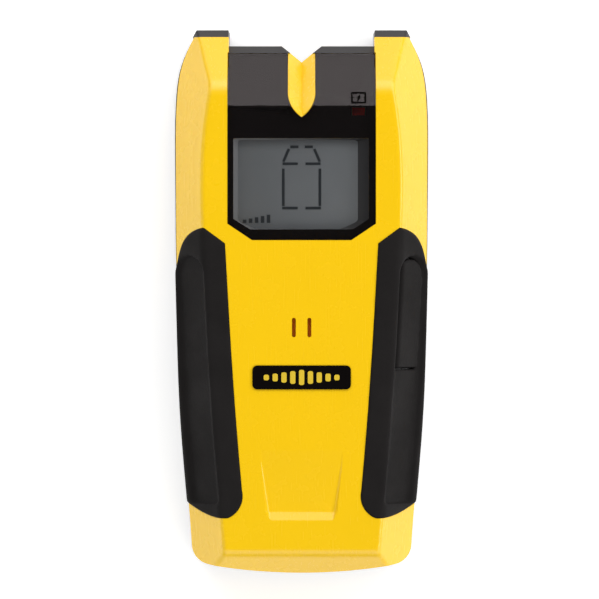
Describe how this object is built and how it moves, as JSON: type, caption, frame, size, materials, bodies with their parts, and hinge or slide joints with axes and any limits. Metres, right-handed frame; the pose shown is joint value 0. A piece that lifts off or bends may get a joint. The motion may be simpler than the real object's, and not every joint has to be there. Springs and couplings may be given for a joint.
{
  "type": "stud finder",
  "caption": "Hand-held stud finder with a sloping display window, pencil notch between two horns, rubber side grips, side push button and hinged battery door.",
  "frame": {"origin": "middle of the flat back, at the centre of the bounding box's bottom", "axes": "+X to the right of the front face, +Y along the body to the notch end, +Z out of the front face"},
  "size_m": [0.073, 0.155, 0.0332],
  "materials": {
    "yellow_shell": "semi-gloss moulded ABS",
    "dark_shell": "fine satin texture",
    "soft_grip": "matt soft-touch",
    "smoked_window": "clear glossy sheet",
    "black_print": "opaque black",
    "yellow_print": "printed",
    "tape": "foam tape",
    "display_glass": "grey display glass",
    "display_ink": "dark segments",
    "frame_plastic": "black moulding",
    "backlight": "white diffuser",
    "zebra_rubber": "layered rubber",
    "board": "green solder resist",
    "steel": "plated steel",
    "chip_black": "moulded",
    "bright_metal": "bright metal",
    "buzzer_black": "moulded",
    "foam": "closed-cell foam",
    "felt": "brown dust felt",
    "plunger": "white moulding",
    "red_lamp": "red diffused",
    "contacts": "gold-tone metal",
    "battery_case": "printed metal jacket",
    "nickel": "nickel plate",
    "snap": "soft vinyl",
    "lead_red": "vinyl insulation",
    "lead_black": "vinyl insulation"
  },
  "bodies": {
    "housing": {"front_shell": "yellow_shell", "rear_shell": "dark_shell", "grip_left": "soft_grip", "grip_right": "soft_grip", "window_lens": "smoked_window", "window_mask": "black_print", "badge_plate": "black_print", "badge_emblem": "yellow_print", "window_tape": "tape", "lcd_glass": "display_glass", "lcd_segments": "display_ink", "lcd_frame": "frame_plastic", "header_bars": "frame_plastic", "scan_switch": "frame_plastic", "lcd_backlight": "backlight", "zebra_strips": "zebra_rubber", "display_board": "board", "sensor_board": "board", "board_screws": "steel", "case_screws": "steel", "controller_chip": "chip_black", "sensor_chip": "chip_black", "small_components": "chip_black", "crystal_can": "bright_metal", "capacitors": "bright_metal", "shield_can": "bright_metal", "buzzer_can": "buzzer_black", "buzzer_gasket": "foam", "battery_foam": "foam", "sounder_felt": "felt", "warning_led": "red_lamp", "link_header": "contacts", "sensor_plates": "contacts", "battery_body": "battery_case", "battery_terminals": "nickel", "battery_snap": "snap", "battery_lead_red": "lead_red", "battery_lead_black": "lead_black"},
    "scan_button": {"scan_button": "soft_grip"},
    "switch_plunger": {"switch_plunger": "plunger"},
    "battery_door": {"battery_door": "dark_shell"},
    "door_latch": {"door_latch": "dark_shell"}
  },
  "joints": [
    {"name": "scan_button_press", "type": "slide", "parent": "housing", "child": "scan_button", "axis": [-1, 0, 0], "range_m": [0, 0.001], "stiffness_N_per_m": 800},
    {"name": "plunger_press", "type": "slide", "parent": "housing", "child": "switch_plunger", "axis": [-1, 0, 0], "range_m": [0, 0.001]},
    {"name": "battery_door_hinge", "type": "hinge", "parent": "housing", "child": "battery_door", "pos_m": [0, -0.0704, 0.0022], "axis": [-1, 0, 0], "range_deg": [0, 90], "deforming": ["door_latch"]},
    {"name": "latch_flex", "type": "hinge", "parent": "battery_door", "child": "door_latch", "pos_m": [0, -0.019, 0.0013], "axis": [1, 0, 0], "range_deg": [0, 8], "stiffness_Nm_per_rad": 0.02, "deforming": ["door_latch"]}
  ],
  "couplings": [
    {"joint": "plunger_press", "follows": "scan_button_press", "ratio": 1}
  ]
}
